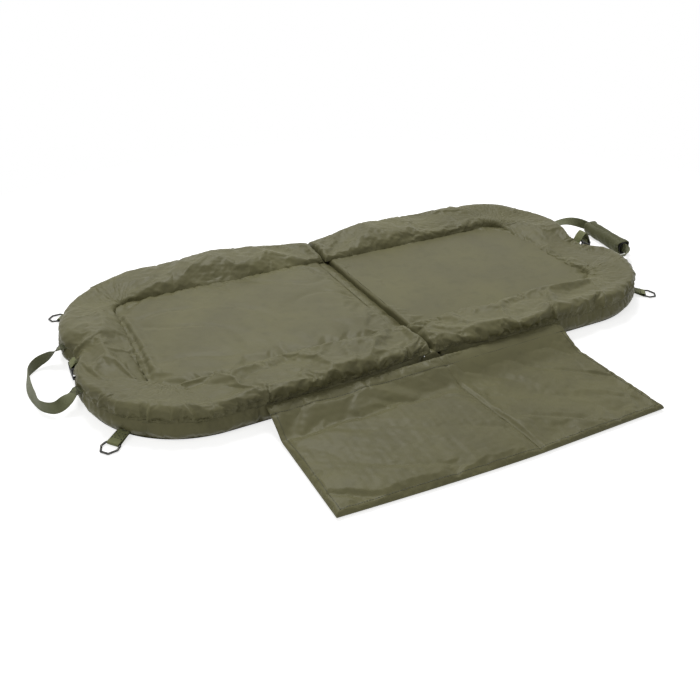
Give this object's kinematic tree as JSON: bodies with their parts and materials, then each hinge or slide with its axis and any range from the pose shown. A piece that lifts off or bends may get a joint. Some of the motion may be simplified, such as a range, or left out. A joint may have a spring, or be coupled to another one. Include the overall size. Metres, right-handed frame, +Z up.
{
  "type": "floating unhooking mat",
  "caption": "Padded folding unhooking mat with a raised rim, a fold-over cover flap, carrying straps, ring tabs and a buckle closure.",
  "frame": {"origin": "on the ground under the middle of the whole mat as it lies open, flap and straps included", "axes": "+X along the open mat towards the end with the wrapped strap, +Y across it away from the cover flap, +Z up"},
  "size_m": [1.5268, 0.9424, 0.075],
  "materials": {
    "mat_cloth": "satin",
    "base_cloth": "satin",
    "webbing": "matte",
    "strap_webbing": "matte",
    "foam": "matte",
    "hook_and_loop": "matte",
    "black_metal": "satin",
    "black_plastic": "satin"
  },
  "bodies": {
    "left_half": {"left_base_sheet": "base_cloth", "left_foam_board": "foam", "left_top_panel": "mat_cloth", "left_side_band": "mat_cloth", "left_rim_foam": "foam", "left_rim_cover": "mat_cloth", "fold_strip": "mat_cloth", "left_front_tab": "webbing", "left_back_tab": "webbing"},
    "right_half": {"right_base_sheet": "base_cloth", "right_foam_board": "foam", "right_top_panel": "mat_cloth", "right_side_band": "mat_cloth", "right_rim_foam": "foam", "right_rim_cover": "mat_cloth", "right_front_tab": "webbing", "right_back_tab": "webbing"},
    "left_flap": {"left_flap_foam": "foam", "left_flap_cover": "mat_cloth", "left_flap_web": "mat_cloth"},
    "right_flap": {"right_flap_foam": "foam", "right_flap_cover": "mat_cloth", "right_flap_web": "mat_cloth"},
    "left_handle": {"left_handle_strap": "strap_webbing"},
    "right_handle": {"right_handle_strap": "strap_webbing", "wrap_cover": "strap_webbing", "wrap_lining": "hook_and_loop"},
    "wrap_flap": {"wrap_leaf": "strap_webbing"},
    "left_closure": {"left_closure_strap": "webbing", "closure_socket": "black_plastic"},
    "right_closure": {"right_closure_strap": "webbing", "closure_plug": "black_plastic"},
    "left_front_ring_body": {"left_front_ring": "black_metal"},
    "left_back_ring_body": {"left_back_ring": "black_metal"},
    "right_front_ring_body": {"right_front_ring": "black_metal"},
    "right_back_ring_body": {"right_back_ring": "black_metal"}
  },
  "joints": [
    {"name": "mat_fold", "type": "hinge", "parent": "left_half", "child": "right_half", "pos_m": [-0.02768, 0.15115, 0.0465], "axis": [0, 1, 0], "range_deg": [-180, 0], "deforming": ["left_rim_foam", "right_rim_foam", "left_rim_cover", "right_rim_cover", "fold_strip"]},
    {"name": "flap_fold", "type": "hinge", "parent": "left_half", "child": "left_flap", "pos_m": [-0.02768, -0.16915, 0.0368], "axis": [-1, 0, 0], "range_deg": [0, 165], "deforming": ["left_flap_web"]},
    {"name": "right_flap_fold", "type": "hinge", "parent": "right_half", "child": "right_flap", "pos_m": [-0.02768, -0.16915, 0.0368], "axis": [-1, 0, 0], "range_deg": [0, 165], "deforming": ["right_flap_web"]},
    {"name": "left_handle_swing", "type": "hinge", "parent": "left_half", "child": "left_handle", "pos_m": [-0.67907, 0.15115, 0.0365], "axis": [0, 1, 0], "range_deg": [0, 110]},
    {"name": "right_handle_swing", "type": "hinge", "parent": "right_half", "child": "right_handle", "pos_m": [0.62371, 0.15115, 0.0365], "axis": [0, -1, 0], "range_deg": [0, 108]},
    {"name": "wrap_open", "type": "hinge", "parent": "right_handle", "child": "wrap_flap", "pos_m": [0.73099, 0.1696, 0.03835], "axis": [-0.134, -0.991, 0], "range_deg": [0, 100]},
    {"name": "left_closure_swing", "type": "hinge", "parent": "left_half", "child": "left_closure", "pos_m": [-0.66507, 0.15115, 0.0365], "axis": [0, 1, 0], "range_deg": [0, 110]},
    {"name": "right_closure_swing", "type": "hinge", "parent": "right_half", "child": "right_closure", "pos_m": [0.60971, 0.15115, 0.0365], "axis": [0, -1, 0], "range_deg": [0, 42]},
    {"name": "left_front_ring_swing", "type": "hinge", "parent": "left_half", "child": "left_front_ring_body", "pos_m": [-0.65256, -0.10549, 0.0039], "axis": [-0.624, 0.7814, 0], "range_deg": [-60, 125]},
    {"name": "left_back_ring_swing", "type": "hinge", "parent": "left_half", "child": "left_back_ring_body", "pos_m": [-0.65256, 0.40779, 0.0039], "axis": [0.624, 0.7814, 0], "range_deg": [-60, 125]},
    {"name": "right_front_ring_swing", "type": "hinge", "parent": "right_half", "child": "right_front_ring_body", "pos_m": [0.5972, -0.10549, 0.0039], "axis": [-0.624, -0.7814, 0], "range_deg": [-60, 125]},
    {"name": "right_back_ring_swing", "type": "hinge", "parent": "right_half", "child": "right_back_ring_body", "pos_m": [0.5972, 0.40779, 0.0039], "axis": [0.624, -0.7814, 0], "range_deg": [-60, 125]}
  ],
  "couplings": [
    {"joint": "right_flap_fold", "follows": "flap_fold", "ratio": 1}
  ]
}
